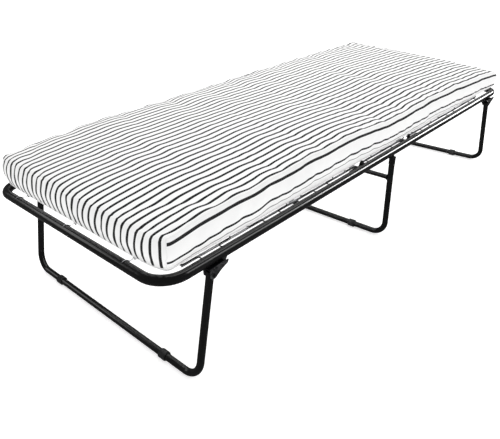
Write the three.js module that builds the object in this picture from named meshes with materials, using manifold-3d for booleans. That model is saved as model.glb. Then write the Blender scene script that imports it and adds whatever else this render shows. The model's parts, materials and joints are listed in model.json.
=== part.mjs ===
// Folding guest bed: a striped mattress on a tubular steel frame that folds in two over a fixed
// middle leg. The head and foot halves turn up on hinges at the ends of two short centre rails,
// and the end legs fold flat under their halves. Zigzag wires across the rails carry the mattress.
// Millimetres. X runs along the bed with the head at -X, Y across it with the near side at -Y,
// Z up from the floor. Loose and welded pieces alike stand 0.3 mm apart.

import * as THREE from 'three';
import { ConvexGeometry } from 'three/addons/geometries/ConvexGeometry.js';
import { mergeVertices } from 'three/addons/utils/BufferGeometryUtils.js';
import Module from 'manifold-3d';

const wasm = await Module();
wasm.setup();

// ---------------------------------------------------------------- driving dimensions

const gap = 0.3;
const bedLength = 1900;
const railSpan = 740;            // between the centre lines of the two long rails
const railHeight = 313.5;        // centre line above the floor
const railTube = { radius: 12.5, wall: 1.5, bend: 65 };
const legTube = { radius: 9.5, wall: 1.2, bend: 48 };
const barTube = { radius: 7.5, wall: 1.2 };
const tubeSides = 12;
const bendSteps = 5;

const legSpan = 758;             // between the centre lines of a leg's two uprights
const legPivot = { x: 812.6, z: 286.5 };
const legSplay = THREE.MathUtils.degToRad(13);
const floorBarHeight = 13;       // centre line of the bar along the floor
const crossBarHeight = 228;

const hinge = { x: 150, z: railHeight + railTube.radius, lobe: 5.5 };
const plateThickness = 2.5;
const boltRadius = 3;

const wire = { diameter: 3, top: 321.5, runs: 16, firstRun: 347, swing: 45, overlap: 5 };
const wirePairs = { count: 8, first: -786, spacing: 212, hookSpacing: 62 };

const mattress = { length: 1864, width: 738, bottom: 328, top: 434 };

const railY = railSpan / 2;
const legY = legSpan / 2;
const railEndX = bedLength / 2 - railTube.radius;
const edges = { near: -1, far: 1 };
const ends = { head: -1, foot: 1 };

// ---------------------------------------------------------------- materials

const finishes = {
  black_paint: { color: 0x101112, roughness: 0.28, metalness: 0.35 },
  black_plastic: { color: 0x17181a, roughness: 0.55, metalness: 0 },
  zinc: { color: 0xb9bcbe, roughness: 0.38, metalness: 0.9 },
  ticking: { color: 0xf1f1ee, roughness: 0.95, metalness: 0 },
};

const bed = new THREE.Group();
bed.name = 'folding_guest_bed';

function addPart(name, geometry, finish) {
  const mesh = new THREE.Mesh(geometry, new THREE.MeshStandardMaterial(finishes[finish]));
  mesh.name = name;
  bed.add(mesh);
  return mesh;
}

// ---------------------------------------------------------------- solids

function toSolid(geometry) {
  const bare = geometry.clone();
  bare.deleteAttribute('normal');
  bare.deleteAttribute('uv');
  const welded = mergeVertices(bare, 1e-4);
  return new wasm.Manifold(new wasm.Mesh({
    numProp: 3,
    vertProperties: new Float32Array(welded.attributes.position.array),
    triVerts: new Uint32Array(welded.index.array),
  }));
}

function toGeometry(solid) {
  const mesh = solid.getMesh();
  const geometry = new THREE.BufferGeometry();
  geometry.setAttribute('position', new THREE.BufferAttribute(mesh.vertProperties, 3));
  geometry.setIndex(new THREE.BufferAttribute(mesh.triVerts, 1));
  return geometry;
}

// ---------------------------------------------------------------- tubes

function circlePoints(radius, sides) {
  return Array.from({ length: sides }, (_, i) => {
    const angle = (i + 0.5) * 2 * Math.PI / sides;
    return new THREE.Vector2(radius * Math.cos(angle), radius * Math.sin(angle));
  });
}

function ringSection({ radius, wall }) {
  const section = new THREE.Shape(circlePoints(radius, tubeSides));
  section.holes.push(new THREE.Path(circlePoints(radius - wall, tubeSides)));
  return section;
}

// A centre line given as stations, each a point with the direction of the tube there.
class StationPath extends THREE.Curve {
  constructor(stations) {
    super();
    this.stations = stations;
  }

  station(t) {
    return this.stations[Math.round(t * (this.stations.length - 1))];
  }

  getPointAt(t, target = new THREE.Vector3()) {
    return target.copy(this.station(t).at);
  }

  getTangentAt(t, target = new THREE.Vector3()) {
    return target.copy(this.station(t).along);
  }
}

// Straight runs between the corners, with each corner rounded to the bend radius.
function bentPath(corners, bend) {
  const heading = (i) => corners[i + 1].clone().sub(corners[i]).normalize();
  const stations = [{ at: corners[0], along: heading(0) }];
  for (let i = 1; i < corners.length - 1; i++) {
    const into = heading(i - 1);
    const out = heading(i);
    const turn = into.angleTo(out);
    const axis = into.clone().cross(out).normalize();
    const start = corners[i].clone().addScaledVector(into, -bend * Math.tan(turn / 2));
    const centre = start.clone().addScaledVector(axis.clone().cross(into), bend);
    for (let k = 0; k <= bendSteps; k++) {
      const angle = turn * k / bendSteps;
      const arm = start.clone().sub(centre).applyAxisAngle(axis, angle);
      stations.push({ at: arm.add(centre), along: into.clone().applyAxisAngle(axis, angle) });
    }
  }
  stations.push({ at: corners.at(-1), along: heading(corners.length - 2) });
  return new StationPath(stations);
}

function tubeAlong(corners, tube) {
  const path = bentPath(corners, tube.bend);
  const steps = path.stations.length - 1;
  return new THREE.ExtrudeGeometry(ringSection(tube), { steps, extrudePath: path });
}

const point = (x, y, z) => new THREE.Vector3(x, y, z);

// ---------------------------------------------------------------- plates, rings and pins

// A flat plate standing in the XZ plane, from its outline and its holes, grown towards +Y.
function uprightPlate(outline, holes, thickness) {
  const shape = new THREE.Shape(outline.map(([x, z]) => new THREE.Vector2(x, z)));
  for (const [x, z, radius] of holes) {
    const rim = circlePoints(radius, 10).map((p) => p.add(new THREE.Vector2(x, z)));
    shape.holes.push(new THREE.Path(rim));
  }
  const plate = new THREE.ExtrudeGeometry(shape, { depth: thickness, bevelEnabled: false });
  return plate.rotateX(Math.PI / 2).translate(0, thickness, 0);
}

// Points of an arc, listed from one angle to another in degrees.
function arc(x, z, radius, from, to, steps) {
  return Array.from({ length: steps + 1 }, (_, i) => {
    const angle = THREE.MathUtils.degToRad(from + (to - from) * i / steps);
    return [x + radius * Math.cos(angle), z + radius * Math.sin(angle)];
  });
}

// A solid of revolution about its own Y axis, from a closed list of radius and height pairs.
function turned(profile, sides) {
  const outline = [...profile, profile[0]].map(([r, y]) => new THREE.Vector2(r, y));
  return new THREE.LatheGeometry(outline, sides);
}

// A ring round a bar, both sizes taken across its flats, with one flat square to the Z axis.
function ringAlongY(outerRadius, barRadius, length) {
  const half = length / 2;
  const toCorners = 1 / Math.cos(Math.PI / tubeSides);
  const outer = outerRadius * toCorners;
  const bore = (barRadius + gap) * toCorners;
  const ring = turned([[bore, -half], [outer, -half], [outer, half], [bore, half]], tubeSides);
  return ring.rotateY(Math.PI / tubeSides);
}

function rod(radius, length, sides) {
  return new THREE.CylinderGeometry(radius, radius, length, sides);
}

// ---------------------------------------------------------------- rails

// One half of the bed's outline: a U of tube, open towards the middle of the bed.
function halfRail(end) {
  const innerX = end * (hinge.x + 0.75);
  const outerX = end * railEndX;
  return tubeAlong([
    point(innerX, -railY, railHeight),
    point(outerX, -railY, railHeight),
    point(outerX, railY, railHeight),
    point(innerX, railY, railHeight),
  ], railTube);
}

function centreRail(edge) {
  const halfLength = hinge.x - 0.75;
  return tubeAlong([
    point(-halfLength, edge * railY, railHeight),
    point(halfLength, edge * railY, railHeight),
  ], railTube);
}

function addRails() {
  for (const [name, end] of Object.entries(ends)) {
    addPart(`${name}_rail`, halfRail(end), 'black_paint');
  }
  for (const [name, edge] of Object.entries(edges)) {
    addPart(`centre_rail_${name}`, centreRail(edge), 'black_paint');
  }
}

// ---------------------------------------------------------------- hinges

// A link welded to the inner face of each centre rail carries both pivots, and each half rail
// has an ear further in, stood off its rail by a spacer, with a rivet through the link.
const linkY = railY - railTube.radius - gap - plateThickness;
const earY = linkY - gap - plateThickness;
const webTop = railHeight + 4;
const webBottom = railHeight - 12;

function hingeLink() {
  const { x, z, lobe } = hinge;
  return uprightPlate([
    ...arc(x, z, lobe, -30, 150, 5),
    [x - 13, webTop],
    [13 - x, webTop],
    ...arc(-x, z, lobe, 30, 210, 5),
    [-x - 2, webBottom],
    [x + 2, webBottom],
  ], [[x, z, boltRadius + gap], [-x, z, boltRadius + gap]], plateThickness);
}

function hingeEar(end, edge) {
  const { x, z, lobe } = hinge;
  const outline = [
    ...arc(x, z, lobe, 30, 210, 5),
    [x + 2, webBottom],
    [x + 64, webBottom],
    [x + 64, webTop],
    [x + 13, webTop],
  ].map(([px, pz]) => [end * px, pz]);
  const inner = Math.min(edge * earY, edge * (earY + plateThickness));
  const plate = uprightPlate(outline, [], plateThickness).translate(0, inner, 0);

  const spacerDepth = plateThickness + 2 * gap;
  const spacer = new THREE.BoxGeometry(44, spacerDepth, 12);
  spacer.translate(end * (x + 41), edge * (linkY - gap + spacerDepth / 2), railHeight - 4);

  const rivetHead = 2;
  const shankLength = plateThickness + 2 * gap + 1;
  const shank = rod(boltRadius, shankLength, 10);
  shank.translate(end * x, edge * (linkY - gap + shankLength / 2 - 0.5), z);
  const head = rod(4.5, rivetHead, 10);
  head.translate(end * x, edge * (linkY + plateThickness + gap + rivetHead / 2), z);
  return toGeometry(toSolid(plate).add(toSolid(spacer)).add(toSolid(shank)).add(toSolid(head)));
}

function addHinges() {
  for (const [edgeName, edge] of Object.entries(edges)) {
    const link = addPart(`hinge_link_${edgeName}`, hingeLink(), 'black_paint');
    link.position.y = edge > 0 ? linkY : -linkY - plateThickness;
    for (const [endName, end] of Object.entries(ends)) {
      addPart(`hinge_ear_${endName}_${edgeName}`, hingeEar(end, edge), 'black_paint');
    }
  }
}

// ---------------------------------------------------------------- legs

const legDrop = legPivot.z - floorBarHeight;
const legTopOverPivot = 5;

// An end leg: a U that hangs from its two pivots and splays out towards the end of the bed.
function endLeg(end) {
  const slope = Math.tan(legSplay);
  const xAt = (z) => end * (legPivot.x + (legPivot.z - z) * slope);
  const topZ = legPivot.z + legTopOverPivot * Math.cos(legSplay);
  const tube = tubeAlong([
    point(xAt(topZ), -legY, topZ),
    point(xAt(floorBarHeight), -legY, floorBarHeight),
    point(xAt(floorBarHeight), legY, floorBarHeight),
    point(xAt(topZ), legY, topZ),
  ], legTube);
  const drill = rod(boltRadius + gap, legSpan + 40, 10);
  drill.translate(end * legPivot.x, 0, legPivot.z);
  return toGeometry(toSolid(tube).subtract(toSolid(drill)));
}

// The middle leg is welded up under the centre rails, and a bar stiffens it between its uprights.
function addMiddleLeg() {
  const topZ = railHeight - railTube.radius - gap;
  const tube = tubeAlong([
    point(0, -legY, topZ),
    point(0, -legY, floorBarHeight),
    point(0, legY, floorBarHeight),
    point(0, legY, topZ),
  ], legTube);
  addPart('middle_leg', tube, 'black_paint');

  const barEnd = legY - legTube.radius - gap;
  const bar = tubeAlong([
    point(0, -barEnd, crossBarHeight),
    point(0, barEnd, crossBarHeight),
  ], barTube);
  addPart('middle_cross_bar', bar, 'black_paint');

  const socketLength = 24;
  for (const [name, edge] of Object.entries(edges)) {
    const ring = ringAlongY(12, legTube.radius, socketLength);
    const socket = addPart(`middle_leg_socket_${name}`, ring, 'black_paint');
    socket.rotation.x = Math.PI / 2;
    socket.position.set(0, edge * legY, topZ - socketLength / 2);
  }
}

// The bracket that holds an end leg: two cheeks either side of the tube, joined by a web that is
// welded up under the rail. The inner cheek is deeper, and the outer one laps over the rail's side.
// X and Z are taken from the pivot, and the far side's bracket is the near side's turned over.
const innerCheekY = legY - legTube.radius - gap - plateThickness;
const outerCheekY = legY + legTube.radius + gap;

function legBracket(edge) {
  const top = railHeight - railTube.radius - gap - legPivot.z;
  const hole = [[0, 0, boltRadius + gap]];
  const inner = uprightPlate([
    [-9, top],
    [-9, -4],
    [-4, -10],
    [38, -11],
    [41, -2],
    [60, 2],
    [68, top],
  ], hole, plateThickness);
  const outer = uprightPlate([
    [-9, top + 3],
    [-9, -4],
    [-4, -9],
    [4, -9],
    [24, 4],
    [44, top - plateThickness],
    [48, top + 5],
    [30, top + 6],
  ], hole, plateThickness);
  const web = new THREE.BoxGeometry(50, outerCheekY - innerCheekY, plateThickness);
  const webY = (outerCheekY - innerCheekY) / 2;
  web.translate(18, webY + plateThickness / 2, top - plateThickness / 2);
  const cheeks = toSolid(inner).add(toSolid(outer.translate(0, outerCheekY - innerCheekY, 0)));
  const bracket = cheeks.add(toSolid(web));
  return toGeometry(edge > 0 ? bracket : bracket.mirror([0, 1, 0]));
}

function legBolt() {
  const inner = innerCheekY - gap;
  const outer = outerCheekY + plateThickness + gap;
  return turned([
    [0, inner - 4.5],
    [5.2, inner - 4.5],
    [5.2, inner],
    [boltRadius, inner],
    [boltRadius, outer],
    [5.5, outer],
    [4.2, outer + 1.5],
    [0, outer + 1.8],
  ], 8);
}

function addLegs() {
  addMiddleLeg();
  for (const [endName, end] of Object.entries(ends)) {
    addPart(`${endName}_leg`, endLeg(end), 'black_paint');
    for (const [edgeName, edge] of Object.entries(edges)) {
      const tag = `${endName}_${edgeName}`;
      const bracket = addPart(`leg_bracket_${tag}`, legBracket(edge), 'black_paint');
      bracket.position.set(end * legPivot.x, edge * innerCheekY, legPivot.z);
      const bolt = addPart(`leg_bolt_${tag}`, legBolt(), 'zinc');
      bolt.rotation.x = edge > 0 ? 0 : Math.PI;
      bolt.position.set(end * legPivot.x, 0, legPivot.z);
    }
  }
}

// Plastic collars round the floor bars, which are all that touches the floor.
function addGlides() {
  const glideY = 250;
  const splayShift = legDrop * Math.tan(legSplay);
  const barX = { head: -legPivot.x - splayShift, middle: 0, foot: legPivot.x + splayShift };
  for (const [legName, x] of Object.entries(barX)) {
    for (const [edgeName, edge] of Object.entries(edges)) {
      const ring = ringAlongY(floorBarHeight, legTube.radius, 24);
      const glide = addPart(`glide_${legName}_${edgeName}`, ring, 'black_plastic');
      glide.position.set(x, edge * glideY, floorBarHeight);
    }
  }
}

// ---------------------------------------------------------------- spring deck

// Both sides of a flat strip of even width along a centre line that turns at right angles.
function stripOutline(line, width) {
  const side = (sign) => line.map((p, i) => {
    const before = line[Math.max(i - 1, 0)];
    const after = line[Math.min(i + 1, line.length - 1)];
    const offset = new THREE.Vector2();
    for (const [a, b] of [[before, p], [p, after]]) {
      const step = b.clone().sub(a);
      if (step.length() > 0) {
        const normal = new THREE.Vector2(-step.y, step.x).normalize();
        offset.x = normal.x || offset.x;
        offset.y = normal.y || offset.y;
      }
    }
    return p.clone().addScaledVector(offset, sign * width / 2);
  });
  return [...side(1), ...side(-1).reverse()];
}

// One wire: from its hook by the near rail it zigzags across to its hook by the far rail, all of
// its loops lying to one side of the hooks.
function deckWire(hookX, way) {
  const hookY = railY - Math.sqrt(railTube.radius ** 2 - 5 ** 2) - gap;
  const outX = hookX + way * wire.swing;
  const backX = hookX - way * wire.overlap;
  const pitch = 2 * wire.firstRun / (wire.runs - 1);
  const line = [new THREE.Vector2(hookX, -hookY), new THREE.Vector2(hookX, -wire.firstRun)];
  for (let run = 0; run < wire.runs - 1; run++) {
    const x = run % 2 === 0 ? outX : backX;
    const y = -wire.firstRun + run * pitch;
    line.push(new THREE.Vector2(x, y), new THREE.Vector2(x, y + pitch));
  }
  line.push(new THREE.Vector2(hookX, wire.firstRun), new THREE.Vector2(hookX, hookY));
  const shape = new THREE.Shape(stripOutline(line, wire.diameter));
  const strip = new THREE.ExtrudeGeometry(shape, { depth: wire.diameter, bevelEnabled: false });
  return strip.translate(0, 0, wire.top - wire.diameter);
}

function addDeckWires() {
  for (let i = 0; i < 2 * wirePairs.count; i++) {
    const way = i % 2 === 0 ? -1 : 1;
    const pairX = wirePairs.first + Math.floor(i / 2) * wirePairs.spacing;
    const hookX = pairX + way * wirePairs.hookSpacing / 2;
    const name = `deck_wire_${String(i + 1).padStart(2, '0')}`;
    addPart(name, deckWire(hookX, way), 'black_paint');
  }
}

// Helical springs are plain rods here: three from the last wire to each end rail, and one along
// each edge of each half, just under the wires that it gathers.
const lastHook = {
  head: wirePairs.first - wirePairs.hookSpacing / 2,
  foot: wirePairs.first + (wirePairs.count - 1) * wirePairs.spacing + wirePairs.hookSpacing / 2,
};

function rodAlongX(radius, fromX, toX, y, z) {
  const along = rod(radius, Math.abs(toX - fromX), 8).rotateZ(Math.PI / 2);
  return along.translate((fromX + toX) / 2, y, z);
}

function addDeckSprings() {
  const tieY = [-245, 0, 245];
  const tieZ = wire.top - wire.diameter / 2;
  const edgeY = 342;
  const edgeRadius = 3.5;
  const edgeZ = wire.top - wire.diameter - gap - edgeRadius;
  const foldRoom = 15;
  for (const [endName, end] of Object.entries(ends)) {
    const lastWireX = lastHook[endName] + end * (wire.swing + wire.diameter / 2 + gap);
    const railX = end * (railEndX - railTube.radius - gap);
    tieY.forEach((y, i) => {
      const tie = rodAlongX(4, lastWireX, railX, y, tieZ);
      addPart(`end_tie_${endName}_${i + 1}`, tie, 'zinc');
    });
    const startX = end * (hinge.x + foldRoom);
    const stopX = lastHook[endName] + end * wire.swing;
    for (const [edgeName, edge] of Object.entries(edges)) {
      const coil = rodAlongX(edgeRadius, startX, stopX, edge * edgeY, edgeZ);
      addPart(`edge_coil_${endName}_${edgeName}`, coil, 'zinc');
    }
  }
}

// ---------------------------------------------------------------- mattress

// The mattress is three solids that part at 45 degrees over each hinge line, so that they close
// on each other as the halves fold up. Its lower edges draw in to sit between the rails.
const mattressLevels = [
  { z: mattress.bottom, inset: 24 },
  { z: mattress.bottom + 24, inset: 0 },
  { z: mattress.top - 22, inset: 0 },
  { z: mattress.top, inset: 20 },
];
const foldClearance = 1.5;

function mattressSection(leftX, rightX) {
  const corners = mattressLevels.flatMap(({ z, inset }) => {
    const y = mattress.width / 2 - inset;
    return [leftX(z, inset), rightX(z, inset)].flatMap((x) => [point(x, -y, z), point(x, y, z)]);
  });
  return new ConvexGeometry(corners);
}

function addMattress() {
  const foldOuter = (z) => hinge.x + (z - hinge.z) + foldClearance;
  const foldInner = (z) => hinge.x - (z - hinge.z) - foldClearance;
  const endX = (z, inset) => mattress.length / 2 - inset;
  addPart('mattress_head',
    mattressSection((z, inset) => -endX(z, inset), (z) => -foldOuter(z)), 'ticking');
  addPart('mattress_centre', mattressSection((z) => -foldInner(z), foldInner), 'ticking');
  addPart('mattress_foot', mattressSection(foldOuter, endX), 'ticking');
}

// ---------------------------------------------------------------- assembly

addRails();
addHinges();
addLegs();
addGlides();
addDeckWires();
addDeckSprings();
addMattress();

export default bed;
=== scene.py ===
# Looks of the folding guest bed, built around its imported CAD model. Metres, +Z up, head end at -X,
# near side at -Y. The tubes, wires and springs are made again with round surfaces, the mattress is
# a simulated cover over one crowned pad, and every surface has a material made of nodes.

import json
import math

import bmesh
import bpy
import numpy as np
from mathutils import Matrix, Vector, noise
from mathutils.bvhtree import BVHTree

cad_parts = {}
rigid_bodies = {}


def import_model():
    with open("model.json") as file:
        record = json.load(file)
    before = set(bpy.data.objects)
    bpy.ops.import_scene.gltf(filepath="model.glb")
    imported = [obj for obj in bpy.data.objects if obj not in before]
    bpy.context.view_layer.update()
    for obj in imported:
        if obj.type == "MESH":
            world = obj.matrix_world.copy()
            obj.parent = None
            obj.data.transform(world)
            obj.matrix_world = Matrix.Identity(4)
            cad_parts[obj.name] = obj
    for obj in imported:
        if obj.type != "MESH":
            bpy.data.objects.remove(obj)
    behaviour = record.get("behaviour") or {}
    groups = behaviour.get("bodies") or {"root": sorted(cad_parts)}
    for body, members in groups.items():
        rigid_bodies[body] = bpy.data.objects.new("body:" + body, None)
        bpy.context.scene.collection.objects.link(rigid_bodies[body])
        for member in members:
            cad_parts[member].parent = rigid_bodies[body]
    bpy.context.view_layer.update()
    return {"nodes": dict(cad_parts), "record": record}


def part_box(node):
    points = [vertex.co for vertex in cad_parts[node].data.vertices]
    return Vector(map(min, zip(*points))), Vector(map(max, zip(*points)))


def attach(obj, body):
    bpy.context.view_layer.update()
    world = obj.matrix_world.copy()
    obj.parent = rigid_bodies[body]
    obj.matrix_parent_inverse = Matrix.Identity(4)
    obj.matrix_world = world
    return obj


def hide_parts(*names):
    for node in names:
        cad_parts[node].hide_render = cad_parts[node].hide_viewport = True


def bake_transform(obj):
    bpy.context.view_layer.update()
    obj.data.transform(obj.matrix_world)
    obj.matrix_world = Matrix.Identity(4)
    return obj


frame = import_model()
bodies = frame["record"]["behaviour"]["bodies"]
body_of_node = {node: body for body, nodes in bodies.items() for node in nodes}
scene = bpy.context.scene

# ---------------------------------------------------------------- driving dimensions

RAIL = {"radius": 0.0125, "wall": 0.0015, "bend": 0.065}
LEG = {"radius": 0.0095, "wall": 0.0012, "bend": 0.048}
BAR = {"radius": 0.0075, "wall": 0.0012}
RAIL_Y = 0.370
RAIL_Z = 0.3135
RAIL_END_X = 0.9375
RAIL_JOIN_X = 0.15
JOIN_GAP = 0.00075

LEG_Y = 0.379
LEG_PIVOT = Vector((0.8126, 0, 0.2865))
LEG_SPLAY = math.radians(13)
LEG_TOP_OVER_PIVOT = 0.005
FLOOR_BAR_Z = 0.013
CROSS_BAR_Z = 0.228
# The middle leg's uprights lean in over their last stretch to meet the underside of the rail.
MIDDLE_LEG_LEAN_Z = 0.292
MIDDLE_LEG_TOP = {"y": 0.3725, "z": 0.308}
# How far the cross bar's ends sink into the uprights.
BAR_SINK = 0.001

GLIDE_BEVEL = 0.0025
SOCKET_RADIUS = 0.0104
SOCKET_BEVEL = 0.0008

# Bolts, as radius and depth in from the nut's face and from the head's top.
NUT_PROFILE = [(0.0044, 0), (0.0050, 0.0006), (0.0050, 0.0044), (0.003, 0.0046)]
HEAD_PROFILE = [(0.003, 0.0019), (0.0053, 0.0018), (0.0055, 0.0014), (0.0050, 0.0007),
                (0.0036, 0.0002), (0.0018, 0)]

TUBE_WELD_RADIUS = 0.0016
BRACKET_WELD_RADIUS = 0.0018
WELD_RIPPLE = 0.16
WELD_RIPPLE_PITCH = 0.0028

WIRE_RADIUS = 0.0015
WIRE_TOP = 0.3215
WIRE_SWING = 0.045
WIRE_OVERLAP = 0.005
WIRE_RUNS = 46
FIRST_RUN_Y = 0.347
WIRE_HOOK_SINK = 0.003
RIM_RADIUS = 0.0025
RIM_WIRE = 0.0005

COIL_WIRE = 0.0008
COIL_PITCH = 0.0026
CENTRE_COIL_REACH = 0.135
TIE_PITCH = 0.0022
TIE_TAIL = 0.012
HOOK_WIRE = 0.0011
HOOK_DEGREES = range(20, 125, 7)

ENDS = {"head": -1, "foot": 1}
EDGES = {"near": -1, "far": 1}


# ---------------------------------------------------------------- node materials

class Nodes:
    """A short way to build one material's node tree."""

    def __init__(self, name):
        self.material = bpy.data.materials.new(name)
        self.material.use_nodes = True
        self.tree = self.material.node_tree
        self.shader = self.tree.nodes["Principled BSDF"]

    def add(self, kind, **settings):
        node = self.tree.nodes.new("ShaderNode" + kind)
        for key, value in settings.items():
            setattr(node, key, value)
        return node

    def plug(self, source, socket):
        if isinstance(source, bpy.types.NodeSocket):
            self.tree.links.new(source, socket)
        else:
            socket.default_value = source

    def math(self, operation, a, b=0.0, clamp=False):
        node = self.add("Math", operation=operation, use_clamp=clamp)
        self.plug(a, node.inputs[0])
        self.plug(b, node.inputs[1])
        return node.outputs[0]

    def noise(self, vector, scale, detail=2.0, roughness=0.5):
        node = self.add("TexNoise")
        self.plug(vector, node.inputs["Vector"])
        node.inputs["Scale"].default_value = scale
        node.inputs["Detail"].default_value = detail
        node.inputs["Roughness"].default_value = roughness
        return node.outputs["Fac"]

    def stretch(self, vector, scale):
        node = self.add("Mapping")
        self.plug(vector, node.inputs["Vector"])
        node.inputs["Scale"].default_value = scale
        return node.outputs["Vector"]

    def ramp(self, value, low, high, out_low, out_high):
        node = self.add("MapRange", interpolation_type="SMOOTHSTEP")
        for socket, number in zip(node.inputs, (value, low, high, out_low, out_high)):
            self.plug(number, socket)
        return node.outputs[0]

    def mix(self, factor, a, b):
        node = self.add("Mix", data_type="RGBA")
        self.plug(factor, node.inputs["Factor"])
        self.plug(a if isinstance(a, bpy.types.NodeSocket) else (*a, 1), node.inputs["A"])
        self.plug(b if isinstance(b, bpy.types.NodeSocket) else (*b, 1), node.inputs["B"])
        return node.outputs["Result"]

    def bump(self, height, strength, distance, under=None):
        node = self.add("Bump")
        node.inputs["Strength"].default_value = strength
        node.inputs["Distance"].default_value = distance
        self.plug(height, node.inputs["Height"])
        if under is not None:
            self.plug(under, node.inputs["Normal"])
        return node.outputs["Normal"]

    def place(self):
        return self.add("TexCoord").outputs["Object"]

    def finish(self, **sockets):
        for name, source in sockets.items():
            self.plug(source, self.shader.inputs[name.replace("_", " ")])
        return self.material


def gloss_black():
    """Gloss enamel on tube: orange peel, faint cloudiness and fine scuffs."""
    n = Nodes("gloss_black_enamel")
    place = n.place()
    clouds = n.noise(place, 14, 4, 0.6)
    scuffs = n.noise(n.stretch(place, (60, 60, 260)), 3, 3, 0.65)
    colour = n.mix(n.ramp(clouds, 0.35, 0.7, 0, 1), (0.003, 0.003, 0.0032), (0.005, 0.005, 0.0052))
    rough = n.math("ADD", n.ramp(clouds, 0.3, 0.75, 0.15, 0.22), n.ramp(scuffs, 0.6, 0.75, 0, 0.12))
    peel = n.bump(n.noise(place, 420, 2, 0.5), 0.12, 0.0004)
    return n.finish(Base_Color=colour, Roughness=rough, Normal=peel)


def satin_black():
    """Duller paint on the small steel pieces, rubbed to grey along the sharp edges."""
    n = Nodes("satin_black_paint")
    place = n.place()
    clouds = n.noise(place, 60, 4, 0.6)
    edge = n.ramp(n.add("NewGeometry").outputs["Pointiness"], 0.52, 0.62, 0, 1)
    worn = n.math("MULTIPLY", edge, n.ramp(n.noise(place, 300, 3, 0.7), 0.45, 0.6, 0, 0.5))
    colour = n.mix(worn, (0.005, 0.005, 0.006), (0.12, 0.12, 0.125))
    n.shader.inputs["Specular IOR Level"].default_value = 0.2
    rough = n.ramp(clouds, 0.3, 0.7, 0.28, 0.42)
    grain = n.bump(n.noise(place, 700, 3, 0.6), 0.2, 0.0003)
    return n.finish(Base_Color=colour, Roughness=rough, Normal=grain)


def wire_black():
    """Oil-blackened spring wire with fine drawing marks."""
    n = Nodes("blackened_wire")
    place = n.place()
    marks = n.noise(n.stretch(place, (900, 900, 900)), 1.5, 3, 0.7)
    colour = n.mix(n.ramp(marks, 0.4, 0.7, 0, 1), (0.006, 0.006, 0.007), (0.02, 0.02, 0.022))
    return n.finish(
        Base_Color=colour,
        Metallic=0.3,
        Roughness=n.ramp(marks, 0.3, 0.7, 0.3, 0.45),
        Normal=n.bump(marks, 0.15, 0.0002),
    )


def zinc_plate():
    """Bright zinc on the helical springs, clouded where it has begun to dull."""
    n = Nodes("zinc_plate")
    place = n.place()
    clouds = n.noise(place, 90, 4, 0.6)
    colour = n.mix(n.ramp(clouds, 0.35, 0.7, 0, 1), (0.78, 0.79, 0.81), (0.58, 0.58, 0.60))
    return n.finish(
        Base_Color=colour,
        Metallic=1.0,
        Roughness=n.ramp(clouds, 0.3, 0.7, 0.26, 0.42),
        Normal=n.bump(n.noise(place, 1500, 2, 0.6), 0.15, 0.0002),
    )


def moulded_plastic():
    """Black moulded collars with a fine spark-eroded grain, greyed by the floor low down."""
    n = Nodes("moulded_black_plastic")
    place = n.place()
    height = n.add("SeparateXYZ")
    n.plug(place, height.inputs[0])
    low = n.ramp(height.outputs["Z"], 0.001, 0.007, 1, 0)
    scuffed = n.math("MULTIPLY", low, n.ramp(n.noise(place, 400, 4, 0.7), 0.4, 0.65, 0, 0.7))
    colour = n.mix(scuffed, (0.016, 0.016, 0.017), (0.10, 0.10, 0.10))
    grain = n.bump(n.noise(place, 1600, 3, 0.65), 0.35, 0.0003)
    rough = n.ramp(n.noise(place, 80, 3, 0.5), 0.3, 0.7, 0.42, 0.58)
    return n.finish(Base_Color=colour, Roughness=rough, Normal=grain)


STRIPE_PITCH = 0.0244
STRIPE_WIDTH = 0.0078
STRIPE_SHIFT = 0.012
THREADS_PER_METRE = 1400
LINE_BLACK = (0.012, 0.012, 0.013)
CLOTH_WHITE = (0.93, 0.93, 0.925)


def weave(n, cloth):
    """Bump and shade of a plain weave: warp along U and weft along V, each thread its own ridge."""
    split = n.add("SeparateXYZ")
    n.plug(cloth, split.inputs[0])
    turns = THREADS_PER_METRE * math.pi
    warp = n.math("ABSOLUTE", n.math("SINE", n.math("MULTIPLY", split.outputs["X"], turns)))
    weft = n.math("ABSOLUTE", n.math("SINE", n.math("MULTIPLY", split.outputs["Y"], turns)))
    ridges = n.math("MULTIPLY", warp, weft)
    slubs = n.noise(n.stretch(cloth, (90, 900, 1)), 1, 3, 0.6)
    return n.math("ADD", ridges, slubs), split.outputs["Y"], slubs


def ticking(name, line_mask):
    """White cotton ticking. line_mask(nodes, v, wobble) gives 1 on the black lines: the woven stripes,
    and on the sides also a faint dark line low down by the hem.
    """
    n = Nodes(name)
    cloth = n.add("UVMap", uv_map="Cloth").outputs["UV"]
    threads, across, slubs = weave(n, cloth)
    wobble = n.math("MULTIPLY", n.math("SUBTRACT", slubs, 0.5), 0.0006)
    lines = line_mask(n, across, wobble)
    broken = n.ramp(n.noise(n.stretch(cloth, (500, 2500, 1)), 1, 2, 0.6), 0.25, 0.45, 0.8, 1)
    clouds = n.noise(n.stretch(cloth, (5, 5, 1)), 1, 4, 0.6)
    white = n.mix(n.ramp(clouds, 0.3, 0.75, 0, 1), CLOTH_WHITE, (0.89, 0.89, 0.89))
    colour = n.mix(n.math("MULTIPLY", lines, broken), white, LINE_BLACK)
    n.shader.inputs["Sheen Weight"].default_value = 0.05
    n.shader.inputs["Sheen Roughness"].default_value = 0.5
    n.shader.inputs["Specular IOR Level"].default_value = 0.12
    return n.finish(Base_Color=colour, Roughness=0.92, Normal=n.bump(threads, 0.25, 0.0003))


def line_at(n, across, wobble, place, width):
    """1 within half a width of the place, fading over a thread at each side."""
    offset = n.math("ABSOLUTE", n.math("SUBTRACT", n.math("ADD", across, wobble), place))
    return n.ramp(offset, width / 2 - 0.0003, width / 2 + 0.0003, 1, 0)


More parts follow.
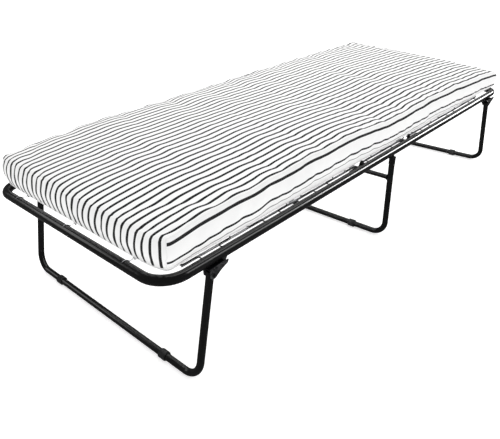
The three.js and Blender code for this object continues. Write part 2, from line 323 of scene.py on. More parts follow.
def repeated_lines(n, across, wobble):
    """The lengthwise stripes of the top and ends, one every STRIPE_PITCH."""
    shifted = n.math("ADD", n.math("ADD", across, wobble), STRIPE_PITCH * 20 - STRIPE_SHIFT)
    cycle = n.math("PINGPONG", shifted, STRIPE_PITCH / 2)
    return n.ramp(cycle, STRIPE_WIDTH / 2 - 0.0003, STRIPE_WIDTH / 2 + 0.0003, 1, 0)


def side_lines(n, across, wobble):
    """The side panels' lines, by their distance below the mattress's upper edge."""
    upper = line_at(n, across, wobble, 0.0140, 0.0068)
    lower = line_at(n, across, wobble, 0.0537, 0.0058)
    # A thinner, fainter dark line low on the side, by the hem where the cloth turns under.
    hem = n.math("MULTIPLY", line_at(n, across, wobble, 0.071, 0.0026), 0.75)
    return n.math("MAXIMUM", n.math("MAXIMUM", upper, lower), hem)


def no_lines(n, across, wobble):
    """The plain cloth of the underside and hem."""
    return 0.0


def white_binding():
    """Twisted white cotton cord along the mattress's seams."""
    n = Nodes("white_binding")
    place = n.place()
    twist = n.noise(place, 900, 2, 0.6)
    colour = n.mix(n.ramp(twist, 0.3, 0.7, 0, 1), (0.92, 0.92, 0.915), (0.80, 0.80, 0.80))
    n.shader.inputs["Specular IOR Level"].default_value = 0.12
    return n.finish(Base_Color=colour, Roughness=0.9, Normal=n.bump(twist, 0.4, 0.0004))


def pale_floor():
    n = Nodes("pale_floor")
    clouds = n.noise(n.place(), 2, 3, 0.5)
    colour = n.mix(clouds, (0.93, 0.93, 0.93), (0.95, 0.95, 0.95))
    n.shader.inputs["Specular IOR Level"].default_value = 0.1
    n.shader.inputs["Emission Color"].default_value = (1, 1, 1, 1)
    n.shader.inputs["Emission Strength"].default_value = 0.55
    return n.finish(Base_Color=colour, Roughness=0.9)


enamel = gloss_black()
paint = satin_black()
wire_finish = wire_black()
zinc = zinc_plate()
plastic = moulded_plastic()
ticking_top = ticking("striped_ticking", repeated_lines)
ticking_side = ticking("side_ticking", side_lines)
ticking_plain = ticking("plain_ticking", no_lines)
binding = white_binding()


# ---------------------------------------------------------------- meshes

def new_piece(name, vertices, faces, material, smooth=True):
    mesh = bpy.data.meshes.new(name)
    mesh.from_pydata([tuple(v) for v in vertices], [], faces)
    mesh.materials.append(material)
    if smooth:
        mesh.shade_smooth()
    obj = bpy.data.objects.new(name, mesh)
    scene.collection.objects.link(obj)
    return obj


def sharpen(obj, degrees=35):
    """Smooth shading with the creases over that many degrees left sharp."""
    mesh = obj.data
    bm = bmesh.new()
    bm.from_mesh(mesh)
    for edge in bm.edges:
        edge.smooth = edge.is_manifold and edge.calc_face_angle(0) < math.radians(degrees)
    bm.to_mesh(mesh)
    bm.free()


def tangents(points):
    ahead = np.roll(points, -1, axis=0)
    behind = np.roll(points, 1, axis=0)
    ahead[-1] = points[-1]
    behind[0] = points[0]
    along = ahead - behind
    return along / np.linalg.norm(along, axis=1)[:, None]


def rings(points, radius, sides):
    """A ring of points round each station of a path, carried along it without twisting."""
    along = tangents(points)
    first = np.array((0.0, 0.0, 1.0)) if abs(along[0][2]) < 0.9 else np.array((1.0, 0.0, 0.0))
    angles = np.arange(sides) * 2 * math.pi / sides
    radii = np.broadcast_to(np.asarray(radius, float), (len(points),))
    made = []
    up = first
    for point, direction, r in zip(points, along, radii):
        up = up - direction * (up @ direction)
        up = up / np.linalg.norm(up)
        side = np.cross(direction, up)
        made.append(point + r * (np.outer(np.cos(angles), side) + np.outer(np.sin(angles), up)))
    return np.array(made)


def ring_faces(count, sides, start=0, flip=False):
    faces = []
    for i in range(count - 1):
        for j in range(sides):
            a = start + i * sides + j
            b = start + i * sides + (j + 1) % sides
            face = (a, b, b + sides, a + sides)
            faces.append(face[::-1] if flip else face)
    return faces


def solid_sweep(name, points, radius, material, sides=10):
    """A solid round bar along a path, closed at both ends."""
    made = rings(np.array(points, float), radius, sides)
    faces = ring_faces(len(made), sides)
    faces.append(tuple(range(sides))[::-1])
    last = (len(made) - 1) * sides
    faces.append(tuple(range(last, last + sides)))
    obj = new_piece(name, made.reshape(-1, 3), faces, material)
    sharpen(obj, 50)
    return obj


def tube(name, points, size, sides=40):
    """An open-ended enamelled tube along a path, with its wall and a rim at each end."""
    points = np.array(points, float)
    outer = rings(points, size["radius"], sides)
    inner = rings(points, size["radius"] - size["wall"], sides)
    count = len(points)
    inside = count * sides
    faces = ring_faces(count, sides) + ring_faces(count, sides, inside, flip=True)
    for j in range(sides):
        k = (j + 1) % sides
        faces.append((k, j, inside + j, inside + k))
        end = (count - 1) * sides
        faces.append((end + j, end + k, inside + end + k, inside + end + j))
    obj = new_piece(name, np.vstack([outer.reshape(-1, 3), inner.reshape(-1, 3)]), faces, enamel)
    sharpen(obj, 50)
    return obj


def bent_path(corners, bend, steps=14):
    """Straight runs between the corners, with each corner rounded to the bend radius."""
    corners = [Vector(c) for c in corners]
    path = [corners[0]]
    for before, corner, after in zip(corners, corners[1:], corners[2:]):
        into = (corner - before).normalized()
        out = (after - corner).normalized()
        turn = into.angle(out)
        axis = into.cross(out).normalized()
        start = corner - into * bend * math.tan(turn / 2)
        centre = start + axis.cross(into) * bend
        for k in range(steps + 1):
            path.append(centre + Matrix.Rotation(turn * k / steps, 3, axis) @ (start - centre))
    path.append(corners[-1])
    return path


def turned(name, profile, centre, axis, material, sides=40):
    """A solid of revolution about an axis through a centre, from radius and height pairs."""
    turn = Vector((0, 0, 1)).rotation_difference(Vector(axis)).to_matrix()
    vertices = []
    for radius, height in profile:
        for j in range(sides):
            angle = 2 * math.pi * j / sides
            at = Vector((radius * math.cos(angle), radius * math.sin(angle), height))
            vertices.append(Vector(centre) + turn @ at)
    faces = ring_faces(len(profile), sides)
    faces.append(tuple(range(sides))[::-1])
    last = (len(profile) - 1) * sides
    faces.append(tuple(range(last, last + sides)))
    obj = new_piece(name, vertices, faces, material)
    sharpen(obj, 40)
    return obj


def stands_for(obj, *nodes, slot=None):
    """The piece rides on the body of the CAD nodes that it replaces."""
    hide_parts(*nodes)
    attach(obj, body_of_node[nodes[0]])
    return obj


# ---------------------------------------------------------------- frame tubes

def build_rails():
    for name, end in ENDS.items():
        inner = end * (RAIL_JOIN_X + JOIN_GAP)
        path = bent_path([
            (inner, -RAIL_Y, RAIL_Z),
            (end * RAIL_END_X, -RAIL_Y, RAIL_Z),
            (end * RAIL_END_X, RAIL_Y, RAIL_Z),
            (inner, RAIL_Y, RAIL_Z),
        ], RAIL["bend"])
        stands_for(tube(f"{name}_rail_tube", path, RAIL), f"{name}_rail", slot="black_paint")
    for name, edge in EDGES.items():
        reach = RAIL_JOIN_X - JOIN_GAP
        path = [(-reach, edge * RAIL_Y, RAIL_Z), (reach, edge * RAIL_Y, RAIL_Z)]
        rail = tube(f"centre_rail_{name}_tube", path, RAIL)
        stands_for(rail, f"centre_rail_{name}", slot="black_paint")


def build_end_legs():
    slope = math.tan(LEG_SPLAY)
    top_z = LEG_PIVOT.z + LEG_TOP_OVER_PIVOT * math.cos(LEG_SPLAY)
    for name, end in ENDS.items():
        top_x = end * (LEG_PIVOT.x + (LEG_PIVOT.z - top_z) * slope)
        low_x = end * (LEG_PIVOT.x + (LEG_PIVOT.z - FLOOR_BAR_Z) * slope)
        path = bent_path([
            (top_x, -LEG_Y, top_z),
            (low_x, -LEG_Y, FLOOR_BAR_Z),
            (low_x, LEG_Y, FLOOR_BAR_Z),
            (top_x, LEG_Y, top_z),
        ], LEG["bend"])
        stands_for(tube(f"{name}_leg_tube", path, LEG), f"{name}_leg", slot="black_paint")


def build_middle_leg():
    middle = bent_path([
        (0, -LEG_Y, MIDDLE_LEG_LEAN_Z),
        (0, -LEG_Y, FLOOR_BAR_Z),
        (0, LEG_Y, FLOOR_BAR_Z),
        (0, LEG_Y, MIDDLE_LEG_LEAN_Z),
    ], LEG["bend"])
    near, far = (Vector((0, edge * MIDDLE_LEG_TOP["y"], MIDDLE_LEG_TOP["z"])) for edge in (-1, 1))
    path = [near, *middle, far]
    stands_for(tube("middle_leg_tube", path, LEG), "middle_leg", slot="black_paint")

    reach = LEG_Y - LEG["radius"] + BAR_SINK
    bar = tube("cross_bar_tube", [(0, -reach, CROSS_BAR_Z), (0, reach, CROSS_BAR_Z)], BAR)
    stands_for(bar, "middle_cross_bar", slot="black_paint")


def rounded_ring(bore, outer, half, bevel):
    """Profile of a collar round a bar, with rounded outer edges, open at its bore."""
    arc = [math.radians(15 * k) for k in range(7)]
    lower = [(outer - bevel + bevel * math.sin(a), -half + bevel - bevel * math.cos(a)) for a in arc]
    upper = [(r, -h) for r, h in reversed(lower)]
    return [(bore, -half), *lower, *upper, (bore, half)]


def build_collars():
    for edge_name, edge in EDGES.items():
        for leg in ("head", "middle", "foot"):
            node = f"glide_{leg}_{edge_name}"
            lo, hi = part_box(node)
            centre = (lo + hi) / 2
            profile = rounded_ring(LEG["radius"], centre.z, (hi.y - lo.y) / 2, GLIDE_BEVEL)
            glide = turned(f"floor_{node}", profile, centre, (0, 1, 0), plastic)
            stands_for(glide, node, slot="black_plastic")
        node = f"middle_leg_socket_{edge_name}"
        lo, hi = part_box(node)
        centre = (lo + hi) / 2
        profile = rounded_ring(LEG["radius"], SOCKET_RADIUS, (hi.z - lo.z) / 2, SOCKET_BEVEL)
        stands_for(turned(f"{node}_ring", profile, centre, (0, 0, 1), enamel), node,
                   slot="black_paint")


# ---------------------------------------------------------------- hinges, brackets and bolts

def dress_plates():
    """The CAD plates keep their shape and gain rounded edges and paint."""
    for node, obj in frame["nodes"].items():
        if not node.startswith(("hinge_", "leg_bracket_")):
            continue
        for slot in obj.material_slots:
            slot.material = paint
        bevel = obj.modifiers.new("edges", "BEVEL")
        bevel.width = 0.0005
        bevel.segments = 2
        bevel.limit_method = "ANGLE"
        bevel.angle_limit = math.radians(40)
        bevel.harden_normals = True


def build_bolts():
    """Domed bolt heads outside the leg tops, with a round nut behind each bracket."""
    for end_name in ENDS:
        for edge_name, edge in EDGES.items():
            node = f"leg_bolt_{end_name}_{edge_name}"
            lo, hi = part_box(node)
            centre = (lo + hi) / 2
            half = (hi.y - lo.y) / 2
            nut = [(radius, depth - half) for radius, depth in NUT_PROFILE]
            head = [(radius, half - depth) for radius, depth in HEAD_PROFILE]
            profile = nut + head
            bolt = turned(f"{node}_round", profile, centre, (0, edge, 0), paint, 24)
            stands_for(bolt, node, slot="zinc")


def weld_bead(name, points, radius, body):
    """A rippled bead of weld along a path."""
    points = np.array(points, float)
    steps = np.linalg.norm(np.diff(points, axis=0), axis=1)
    along = np.concatenate([[0], np.cumsum(steps)])
    ripple = 1 + WELD_RIPPLE * np.sin(along * 2 * math.pi / WELD_RIPPLE_PITCH)
    bead = solid_sweep(name, points, radius * ripple, paint, 10)
    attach(bead, body)


def ring_points(centre, radius, axis, count=48):
    turn = Vector((0, 0, 1)).rotation_difference(Vector(axis)).to_matrix()
    angles = [2 * math.pi * k / count for k in range(count + 1)]
    return [Vector(centre) + turn @ Vector((radius * math.cos(a), radius * math.sin(a), 0))
            for a in angles]


def build_welds():
    for edge_name, edge in EDGES.items():
        at = (0, edge * (LEG_Y - LEG["radius"] - 0.0004), CROSS_BAR_Z)
        weld_bead(f"cross_bar_weld_{edge_name}", ring_points(at, BAR["radius"] + 0.0006, (0, 1, 0)),
                  TUBE_WELD_RADIUS, "centre_frame")
        at = (0, edge * LEG_Y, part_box("middle_leg")[1].z - 0.0008)
        weld_bead(f"middle_leg_weld_{edge_name}", ring_points(at, 0.0098, (0, 0, 1)),
                  TUBE_WELD_RADIUS, "centre_frame")
        for end_name, end in ENDS.items():
            lo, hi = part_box(f"leg_bracket_{end_name}_{edge_name}")
            y = lo.y - 0.0006 if edge > 0 else hi.y + 0.0006
            z = RAIL_Z - RAIL["radius"] - 0.0008
            count = 60
            xs = [lo.x + 0.006 + (hi.x - lo.x - 0.018) * k / count for k in range(count + 1)]
            path = [(x, y, z) for x in xs]
            weld_bead(f"bracket_weld_{end_name}_{edge_name}", path, BRACKET_WELD_RADIUS,
                      f"{end_name}_frame")


# ---------------------------------------------------------------- spring deck

def rail_face(z):
    """How far out from the middle line a long rail's inner face is, at a height."""
    return RAIL_Y - math.sqrt(RAIL["radius"] ** 2 - (z - RAIL_Z) ** 2)


def zigzag(hook_x, way):
    """Centre line of one deck wire: hooked in the near rail, WIRE_RUNS runs, hooked in the far."""
    z = WIRE_TOP - WIRE_RADIUS
    hook_y = rail_face(z) + WIRE_HOOK_SINK
    pitch = 2 * FIRST_RUN_Y / (WIRE_RUNS - 1)
    turn = pitch / 2
    out_x = hook_x + way * (WIRE_SWING - turn)
    back_x = hook_x - way * (WIRE_OVERLAP - turn)
    path = [(hook_x, -hook_y, z), (hook_x, -FIRST_RUN_Y - turn, z)]
    corner = [math.radians(22.5 * k) for k in range(1, 5)]
    for a in corner:
        path.append((hook_x + way * turn * (1 - math.cos(a)),
                     -FIRST_RUN_Y - turn * (1 - math.sin(a)), z))
    half_turn = [math.radians(22.5 * k) for k in range(9)]
    for run in range(WIRE_RUNS - 1):
        y = -FIRST_RUN_Y + run * pitch + turn
        outward = run % 2 == 0
        centre_x = out_x if outward else back_x
        side = way if outward else -way
        for a in half_turn:
            path.append((centre_x + side * turn * math.sin(a), y - turn * math.cos(a), z))
    for a in reversed(corner):
        path.append((hook_x + way * turn * (1 - math.cos(a)),
                     FIRST_RUN_Y + turn * (1 - math.sin(a)), z))
    path += [(hook_x, FIRST_RUN_Y + turn, z), (hook_x, hook_y, z)]
    return path


def build_deck_wires():
    wires = sorted(node for node in frame["nodes"] if node.startswith("deck_wire_"))
    for i, node in enumerate(wires):
        way = -1 if i % 2 == 0 else 1
        lo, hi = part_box(node)
        far_x = lo.x if way < 0 else hi.x
        hook_x = far_x - way * (WIRE_SWING + WIRE_RADIUS)
        path = zigzag(hook_x, way)
        stands_for(solid_sweep(f"{node}_round", path, WIRE_RADIUS, wire_finish, 8), node,
                   slot="black_paint")
        for edge_name, edge in EDGES.items():
            y = rail_face(path[0][2])
            out = Vector((0, -edge * (RAIL_Y - y), path[0][2] - RAIL_Z)).normalized()
            at = Vector((hook_x, edge * RAIL_Y, RAIL_Z)) + out * RAIL["radius"]
            rim = solid_sweep(f"{node}_hole_{edge_name}", ring_points(at, RIM_RADIUS, out, 16),
                              RIM_WIRE, paint, 6)
            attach(rim, body_of_node[node])


def helix(start, stop, y, z, radius, pitch, steps=12):
    """Turns of a helical spring along X."""
    turns = abs(stop - start) / pitch
    count = int(turns * steps)
    angles = [2 * math.pi * k / steps for k in range(count + 1)]
    way = 1 if stop > start else -1
    return [(start + way * pitch * a / (2 * math.pi), y + radius * math.cos(a),
             z + radius * math.sin(a)) for a in angles]


def build_springs():
    for node in sorted(frame["nodes"]):
        if not node.startswith(("end_tie_", "edge_coil_")):
            continue
        lo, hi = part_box(node)
        centre = (lo + hi) / 2
        radius = (hi.z - lo.z) / 2 - COIL_WIRE
        if node.startswith("edge_coil_"):
            path = helix(lo.x, hi.x, centre.y, centre.z, radius, COIL_PITCH)
        else:
            path = tie_path(lo, hi, centre, radius)
            build_rail_hook(node, centre)
        spring = solid_sweep(f"{node}_spring", path, COIL_WIRE, zinc, 6)
        stands_for(spring, node, slot="zinc")


def build_centre_springs():
    """The edge springs' short stretch over the centre section, which the CAD leaves out."""
    lo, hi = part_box("edge_coil_head_near")
    radius = (hi.z - lo.z) / 2 - COIL_WIRE
    for name, edge in EDGES.items():
        y = edge * abs(lo.y + hi.y) / 2
        path = helix(-CENTRE_COIL_REACH, CENTRE_COIL_REACH, y, (lo.z + hi.z) / 2, radius,
                     COIL_PITCH)
        spring = solid_sweep(f"edge_coil_centre_{name}", path, COIL_WIRE, zinc, 6)
        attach(spring, "centre_frame")


def build_rail_hook(node, centre):
    """The end of a tie's wire, bent over the top of the end rail."""
    end = 1 if centre.x > 0 else -1
    reach = RAIL["radius"] + HOOK_WIRE
    path = []
    for degrees in HOOK_DEGREES:
        angle = math.radians(degrees)
        path.append((end * (RAIL_END_X - reach * math.cos(angle)), centre.y,
                     RAIL_Z + reach * math.sin(angle)))
    hook = solid_sweep(f"{node}_hook", path, HOOK_WIRE, zinc, 8)
    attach(hook, body_of_node[node])


def tie_path(lo, hi, centre, radius):
    """A short helical tie between two straight tails that hook the last wire and the end rail."""
    coil = helix(lo.x + TIE_TAIL, hi.x - TIE_TAIL, centre.y, centre.z, radius, TIE_PITCH)
    first = (lo.x, centre.y, centre.z)
    last = (hi.x, centre.y, centre.z)
    return [first, (lo.x + TIE_TAIL * 0.7, centre.y, centre.z), *coil,
            (hi.x - TIE_TAIL * 0.7, centre.y, centre.z), last]


# ---------------------------------------------------------------- mattress

MATTRESS = {"length": 1.882, "width": 0.738, "bottom": 0.3235, "height": 0.100, "shift": 0.009}
UPPER_ROUNDING = Vector((0.014, 0.010, 0.012))
LOWER_ROUNDING = Vector((0.014, 0.022, 0.018))
GRID = 0.012
NEAR_CREST = [(-0.932, 0.410), (-0.86, 0.414), (-0.75, 0.418), (-0.6, 0.423), (-0.45, 0.427),
              (-0.3, 0.431), (-0.15, 0.428), (0, 0.417), (0.15, 0.418), (0.3, 0.424),
              (0.45, 0.420), (0.6, 0.413), (0.75, 0.407), (0.86, 0.401), (0.941, 0.393)]
FAR_CREST = [(-0.93, 0.414), (-0.8, 0.423), (-0.7, 0.430), (-0.37, 0.436), (-0.05, 0.442),
             (0.19, 0.447), (0.49, 0.4505), (0.932, 0.4515)]

# How far the end and side faces draw in at their upper and lower edges, and the ends again at
# their corners over this reach.
BULGE = 0.045
CORNER_PULL = {"head": 0.017, "foot": 0.006}
CORNER_REACH = 0.030
# All side and end faces start this far in, as room for the cloth to swell.
SWELL_ROOM = 0.003
# The underside arches off the deck over each fold line. Folded, it then goes less than 1 mm past
# the wires' tops, except in its outer 50 mm, beside the rails, where it still goes through them.
FOLD_ARCH = 0.0165
FOLD_ARCH_REACH = 0.085
ARCH_EDGES = (0.012, 0.05)

SEAM_RADIUS = 0.0013
SIM_FRAMES = 20
FOAM_GRIP = 0.12
CLOTH_SLACK = 0.03
MOST_SWELL = 0.010


def smooth_line(points, x):
    """A smooth curve through a few points."""
    xs, zs = np.array(points).T
    slopes = np.gradient(zs, xs)
    i = np.clip(np.searchsorted(xs, x) - 1, 0, len(xs) - 2)
    width = xs[i + 1] - xs[i]
    t = np.clip((x - xs[i]) / width, 0, 1)
    return ((1 + 2 * t) * (1 - t) ** 2 * zs[i] + t * (1 - t) ** 2 * width * slopes[i]
            + t * t * (3 - 2 * t) * zs[i + 1] + t * t * (t - 1) * width * slopes[i + 1])


def axis_lines(low, high, low_radius, high_radius, spacing):
    """Places of the mesh's lines along one axis: close together round the edges."""
    band = np.tan(np.radians(np.linspace(0, 45, 5)))
    count = max(2, round((high - high_radius - low - low_radius) / spacing))
    middle = np.linspace(low + low_radius, high - high_radius, count + 1)
    return np.concatenate([low + low_radius * (1 - band[:0:-1]), middle,
                           high - high_radius * (1 - band[1:])])


def box_surface(xs, ys, zs):
    """Points and quads of a box's surface, gridded at the given lines. Each quad has its side."""
    points, index, quads = [], {}, []

    def point(i, j, k):
        if (i, j, k) not in index:
            index[i, j, k] = len(points)
            points.append((xs[i], ys[j], zs[k]))
        return index[i, j, k]

    nx, ny, nz = len(xs) - 1, len(ys) - 1, len(zs) - 1
    for i in range(nx):
        for j in range(ny):
            quads.append(("top", [point(i, j, nz), point(i + 1, j, nz), point(i + 1, j + 1, nz),
                                  point(i, j + 1, nz)]))
            quads.append(("bottom", [point(i, j, 0), point(i, j + 1, 0), point(i + 1, j + 1, 0),
                                     point(i + 1, j, 0)]))
    for k in range(nz):
        for i in range(nx):
            quads.append(("near", [point(i, 0, k), point(i + 1, 0, k), point(i + 1, 0, k + 1),
                                   point(i, 0, k + 1)]))
            quads.append(("far", [point(i, ny, k), point(i, ny, k + 1), point(i + 1, ny, k + 1),
                                  point(i + 1, ny, k)]))
        for j in range(ny):
            quads.append(("head", [point(0, j, k), point(0, j, k + 1), point(0, j + 1, k + 1),
                                   point(0, j + 1, k)]))
            quads.append(("foot", [point(nx, j, k), point(nx, j + 1, k), point(nx, j + 1, k + 1),
                                   point(nx, j, k + 1)]))
    return np.array(points), quads


def round_edges(points):
    """Pushes a box's surface onto the same box with its edges rounded."""
    half = np.array((MATTRESS["length"] / 2, MATTRESS["width"] / 2))
    height = MATTRESS["height"]
    low = points[:, 2] < height / 2
    radii = np.where(low[:, None], np.array(LOWER_ROUNDING), np.array(UPPER_ROUNDING))
    core = points.copy()
    core[:, 0] = np.clip(points[:, 0], -half[0] + radii[:, 0], half[0] - radii[:, 0])
    core[:, 1] = np.clip(points[:, 1], -half[1] + radii[:, 1], half[1] - radii[:, 1])
    core[:, 2] = np.clip(points[:, 2], LOWER_ROUNDING.z, height - UPPER_ROUNDING.z)
    out = (points - core) / radii
    reach = np.linalg.norm(out, axis=1)
    reach[reach < 1e-9] = 1
    return core + radii * out / reach[:, None]


def ramp(values, start, stop):
    """0 before the start and 1 after the stop, straight between."""
    return np.clip((values - start) / (stop - start), 0, 1)


def waves(us, vs, u_scale, v_scale, seed):
    """Smooth noise over two coordinates, each stretched by its own scale."""
    return np.array([noise.noise(Vector((u * u_scale, v * v_scale, seed)))
                     for u, v in zip(us, vs)])


def top_height(x, y):
    """The crown between the two crests, with long waves and finer ripples."""
    across = (y + MATTRESS["width"] / 2) / MATTRESS["width"]
    near = smooth_line(NEAR_CREST, x)
    far = smooth_line(FAR_CREST, x)
    crown = near + (far - near) * across
    return crown + 0.0045 * waves(x, y, 13, 2.2, 3.1) + 0.0016 * waves(x, y, 31, 5, 8.7)


def bottom_height(x, y):
    """The underside: level, but for the arch over each fold line."""
    from_fold = np.abs(x + MATTRESS["shift"]) - RAIL_JOIN_X
    arch = FOLD_ARCH * np.exp(-(from_fold / FOLD_ARCH_REACH) ** 4)
    return MATTRESS["bottom"] + arch * ramp(MATTRESS["width"] / 2 - np.abs(y), *ARCH_EDGES)


def settle(points):
    """Gives the rounded box the mattress's own crown, droop, lean and waves."""
    x, y, z = points.T
    h = z / MATTRESS["height"]
    half_x, half_y = MATTRESS["length"] / 2, MATTRESS["width"] / 2
    bottom = bottom_height(x, y)
    settled = points.copy()
    settled[:, 2] = bottom + h * (top_height(x, y) - bottom)
    bulge = SWELL_ROOM + BULGE * (h - 0.5) ** 2
    pull = np.where(x < 0, CORNER_PULL["head"], CORNER_PULL["foot"])
    drawn_in = bulge + pull * np.exp(-(half_y - np.abs(y)) / CORNER_REACH)
    settled[:, 0] -= np.sign(x) * ramp(np.abs(x), half_x - 0.15, half_x) * drawn_in
    side = ramp(np.abs(y), half_y - 0.08, half_y)
    settled[:, 1] -= np.sign(y) * side * (bulge - 0.0022 * waves(x, h, 11, 6, 5.3))
    settled[:, 0] += MATTRESS["shift"]
    return settled


def cloth_coordinates(points, quads):
    """U along and V across the cloth at each corner of each face, in metres."""
    crest = {
        "near": smooth_line(NEAR_CREST, points[:, 0]),
        "far": smooth_line(FAR_CREST, points[:, 0]),
    }
    values = []
    for side, corners in quads:
        for c in corners:
            x, y, z = points[c]
            if side in crest:
                depth = crest[side][c] - MATTRESS["bottom"]
                values.append((x, depth * (1 - z / MATTRESS["height"])))
            elif side in ("head", "foot"):
                values.append((z, y))
            else:
                values.append((x, y))
    return np.array(values)


def panel_numbers(points, quads):
    """Each quad's material: 0 striped top and ends, 1 lined sides, 2 plain underside and hem."""
    numbers = []
    for side, corners in quads:
        hem = min(points[c][2] for c in corners) < LOWER_ROUNDING.z - 1e-6
        numbers.append(2 if side == "bottom" or hem else int(side in ("near", "far")))
    return np.array(numbers, dtype=np.int32)


def mattress_mesh():
    half_x = MATTRESS["length"] / 2
    half_y = MATTRESS["width"] / 2
    xs = axis_lines(-half_x, half_x, UPPER_ROUNDING.x, UPPER_ROUNDING.x, GRID)
    ys = axis_lines(-half_y, half_y, LOWER_ROUNDING.y, LOWER_ROUNDING.y, GRID)
    zs = axis_lines(0, MATTRESS["height"], LOWER_ROUNDING.z, UPPER_ROUNDING.z, GRID)
    flat, quads = box_surface(xs, ys, zs)
    settled = settle(round_edges(flat))
    pad = new_piece("mattress_pad", settled, [q for _, q in quads], ticking_top)
    pad.data.materials.append(ticking_side)
    pad.data.materials.append(ticking_plain)
    pad.data.polygons.foreach_set("material_index", panel_numbers(flat, quads))
    layer = pad.data.uv_layers.new(name="Cloth")
    layer.data.foreach_set("uv", cloth_coordinates(flat, quads).astype(np.float32).ravel())
    swell_cover(pad, flat)
    return pad


def apply_modifiers(obj):
    graph = bpy.context.evaluated_depsgraph_get()
    mesh = bpy.data.meshes.new_from_object(
        obj.evaluated_get(graph), preserve_all_data_layers=True, depsgraph=graph)
    obj.modifiers.clear()
    obj.data = mesh


def held_points(flat):
    """How firmly the foam and seams hold each point of the cover: 1 where it cannot move."""
    height = MATTRESS["height"]
    inner_x = MATTRESS["length"] / 2 - np.abs(flat[:, 0])
    inner_y = MATTRESS["width"] / 2 - np.abs(flat[:, 1])
    on_top = flat[:, 2] > height - 1e-6
    seam = on_top & (np.minimum(inner_x, inner_y) < 1e-6)
    under = flat[:, 2] < LOWER_ROUNDING.z + 1e-6
    grip = np.full(len(flat), FOAM_GRIP)
    grip[seam | under] = 1.0
    return grip


def hold_cover(pad, flat):
    """A vertex group that says how firmly each point of the cover is held."""
    group = pad.vertex_groups.new(name="held")
    grip = held_points(flat)
    for value in np.unique(grip):
        group.add(np.flatnonzero(grip == value).tolist(), float(value), "REPLACE")
    return group


def add_cloth(pad, group):
    """Ticking cut a little large, held by the group and pressed out by the foam inside it."""
    cloth = pad.modifiers.new("cloth", "CLOTH")
    settings = cloth.settings
    settings.quality = 4
    settings.mass = 0.25
    settings.tension_stiffness = 12
    settings.compression_stiffness = 12
    settings.shear_stiffness = 4
    settings.bending_stiffness = 0.04
    settings.air_damping = 2
    settings.vertex_group_mass = group.name
    settings.pin_stiffness = 1.0
    settings.shrink_min = -CLOTH_SLACK
    settings.use_pressure = True
    settings.uniform_pressure_force = 4
    settings.effector_weights.gravity = 0
    cloth.collision_settings.use_collision = False
    cloth.point_cache.frame_start = 1
    cloth.point_cache.frame_end = SIM_FRAMES
    return cloth


def swell_cover(pad, flat):
    """Simulates the cover and keeps its swelling, none of it further than MOST_SWELL."""
    count = len(flat)
    before = np.empty(count * 3, np.float32)
    pad.data.vertices.foreach_get("co", before)
    group = hold_cover(pad, flat)
    cloth = add_cloth(pad, group)
    for number in range(1, SIM_FRAMES + 1):
        scene.frame_set(number)
    evaluated = pad.evaluated_get(bpy.context.evaluated_depsgraph_get())
    after = np.empty(count * 3, np.float32)
    evaluated.data.vertices.foreach_get("co", after)
    scene.frame_set(1)
    pad.modifiers.remove(cloth)
    pad.vertex_groups.remove(group)
    moved = (after - before).reshape(-1, 3)
    reach = np.linalg.norm(moved, axis=1)[:, None]
    moved *= MOST_SWELL / (MOST_SWELL + reach)
    pad.data.vertices.foreach_set("co", (before.reshape(-1, 3) + moved).ravel())
    pad.data.update()


def on_cover(flat, surface):
    """Points of the flat box, carried to the nearest place on the finished cover."""
    settled = settle(round_edges(np.array(flat)))
    return [surface.find_nearest(Vector(p))[0] for p in settled]


def hem_route(end):
    """Flat points round one end of the mattress, from mid-length to mid-length, over the hem."""
    half_x, half_y = MATTRESS["length"] / 2, MATTRESS["width"] / 2
    z = LOWER_ROUNDING.z
    side = np.linspace(0, half_x, 120)
    across = np.linspace(-half_y, half_y, 90)[1:-1]
    return ([(end * x, -half_y, z) for x in side] + [(end * half_x, y, z) for y in across]
            + [(end * x, half_y, z) for x in side[::-1]])


def edge_route(end, edge):
    """Flat points along one long upper edge from mid-length to the corner, then down to the hem."""
    half_x, half_y = MATTRESS["length"] / 2, MATTRESS["width"] / 2
    side = np.linspace(0, half_x, 120)
    fall = np.linspace(MATTRESS["height"], LOWER_ROUNDING.z, 24)[1:]
    return ([(end * x, edge * half_y, MATTRESS["height"]) for x in side]
            + [(end * half_x, edge * half_y, z) for z in fall])


def build_seams(surface):
    """White binding cord sewn along the upper edges, down the corners and round over the hem."""
    for end_name, end in ENDS.items():
        routes = {"hem": hem_route(end)}
        for edge_name, edge in EDGES.items():
            routes[f"edge_{edge_name}"] = edge_route(end, edge)
        for name, flat in routes.items():
            cord = solid_sweep(f"mattress_seam_{end_name}_{name}", on_cover(flat, surface),
                               SEAM_RADIUS, binding, 8)
            fold_with(cord)


def half_of(pad, end_name):
    """One end's half of the finished pad, cut at the middle of the bed and closed there."""
    obj = pad.copy()
    obj.data = pad.data.copy()
    obj.name = f"mattress_cover_{end_name}"
    scene.collection.objects.link(obj)
    bm = bmesh.new()
    bm.from_mesh(obj.data)
    everything = bm.verts[:] + bm.edges[:] + bm.faces[:]
    bmesh.ops.bisect_plane(bm, geom=everything, plane_co=(0, 0, 0), plane_no=(-ENDS[end_name], 0, 0),
                           dist=1e-6, clear_outer=True)
    rim = [e for e in bm.edges if e.is_boundary]
    bmesh.ops.holes_fill(bm, edges=rim, sides=0)
    for e in rim:
        e.smooth = False
    bm.to_mesh(obj.data)
    bm.free()
    return obj


def fold_with(obj):
    """Bakes the piece's placement into its mesh; it is put on no body of the frame."""
    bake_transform(obj)


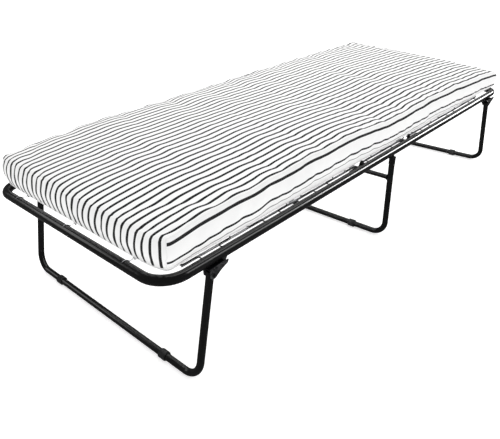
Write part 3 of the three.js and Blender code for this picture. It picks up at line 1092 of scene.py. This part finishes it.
def build_mattress():
    pad = mattress_mesh()
    smooth = pad.modifiers.new("smooth", "SUBSURF")
    smooth.levels = 1
    smooth.uv_smooth = "PRESERVE_BOUNDARIES"
    apply_modifiers(pad)
    pad.data.shade_smooth()
    build_seams(BVHTree.FromObject(pad, bpy.context.evaluated_depsgraph_get()))
    head = half_of(pad, "head")
    foot = half_of(pad, "foot")
    bpy.data.objects.remove(pad)
    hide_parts("mattress_head", "mattress_centre")
    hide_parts("mattress_foot")
    for name, obj in (("head", head), ("foot", foot)):
        fold_with(obj)


# ---------------------------------------------------------------- stage

CAMERA = {"at": Vector((-1.4163, -1.0699, 0.9252)), "azimuth": 46.871, "elevation": 29.035,
          "roll": -1.953, "lens": 36.337}


def build_camera():
    azimuth = math.radians(CAMERA["azimuth"])
    elevation = math.radians(CAMERA["elevation"])
    roll = math.radians(CAMERA["roll"])
    forward = Vector((math.sin(azimuth) * math.cos(elevation),
                      math.cos(azimuth) * math.cos(elevation), -math.sin(elevation)))
    right = Vector((math.cos(azimuth), -math.sin(azimuth), 0))
    up = right.cross(forward)
    side = right * math.cos(roll) + up * math.sin(roll)
    top = up * math.cos(roll) - right * math.sin(roll)
    data = bpy.data.cameras.new("camera")
    data.lens = CAMERA["lens"]
    data.sensor_width = 36
    data.clip_end = 50
    camera = bpy.data.objects.new("camera", data)
    scene.collection.objects.link(camera)
    camera.matrix_world = Matrix((side, top, -forward)).transposed().to_4x4()
    camera.location = CAMERA["at"]
    scene.camera = camera


# The studio lights everything softly, but its walls are dark where the gloss mirrors them.
STUDIO_GLOW = 0.76
STUDIO_MIRRORED = 0.1


def area_light(name, at, target, size, power, along=(0, 0, 1), on=None):
    """A rectangular light facing the target, its second side lying as near as can be along a line.
    Where a collection is given, the light is shaded from everything else."""
    data = bpy.data.lights.new(name, "AREA")
    data.shape = "RECTANGLE"
    data.size, data.size_y = size
    data.energy = power
    light = bpy.data.objects.new(name, data)
    scene.collection.objects.link(light)
    back = (Vector(at) - Vector(target)).normalized()
    long_side = Vector(along)
    long_side = (long_side - back * long_side.dot(back)).normalized()
    across = long_side.cross(back)
    light.matrix_world = Matrix((across, long_side, back)).transposed().to_4x4()
    light.location = at
    light.light_linking.receiver_collection = on


def build_studio():
    """A glowing world that is dimmer in reflections than in the light it gives."""
    world = bpy.data.worlds.new("studio")
    world.use_nodes = True
    background = world.node_tree.nodes["Background"]
    background.inputs["Color"].default_value = (1, 1, 1, 1)
    rays = world.node_tree.nodes.new("ShaderNodeLightPath")
    glow = world.node_tree.nodes.new("ShaderNodeMapRange")
    glow.inputs["To Min"].default_value = STUDIO_GLOW
    glow.inputs["To Max"].default_value = STUDIO_MIRRORED
    world.node_tree.links.new(rays.outputs["Is Glossy Ray"], glow.inputs["Value"])
    world.node_tree.links.new(glow.outputs["Result"], background.inputs["Strength"])
    scene.world = world


def build_stage():
    floor = new_piece("floor", [(-16, -16, 0), (16, -16, 0), (16, 16, 0), (-16, 16, 0)], [(0, 1, 2, 3)],
                      pale_floor(), smooth=False)
    floor.visible_glossy = False
    area_light("overhead", (0.8, 0.5, 3.2), (0.3, 0.2, 0.3), (2.5, 3.0), 54, along=(1, 0, 0))
    scene.view_settings.view_transform = "Standard"


def light_the_enamel():
    """Strip lights that only draw the long highlights on the enamelled tube."""
    tubes = bpy.data.collections.new("enamelled_tube")
    for obj in scene.objects:
        if obj.type == "MESH" and enamel in obj.data.materials[:]:
            tubes.objects.link(obj)
    area_light("foot_strip", (4.2, -2.3, 2.0), (0, -0.37, 0.31), (1.1, 2.6), 200,
               along=(0, -0.75, 0.66), on=tubes)
    area_light("side_strip", (1.5, -2.4, 2.1), (-0.6, -0.37, 0.31), (1.1, 2.0), 26,
               along=(0, -0.75, 0.66), on=tubes)
    area_light("head_strip", (-2.4, 3.2, 2.2), (-0.94, 0, 0.31), (1.0, 2.2), 12,
               along=(1, 0, 0.3), on=tubes)


build_camera()
build_stage()
build_studio()
build_rails()
build_end_legs()
build_middle_leg()
build_collars()
dress_plates()
build_bolts()
build_welds()
build_deck_wires()
build_springs()
build_centre_springs()
build_mattress()
light_the_enamel()
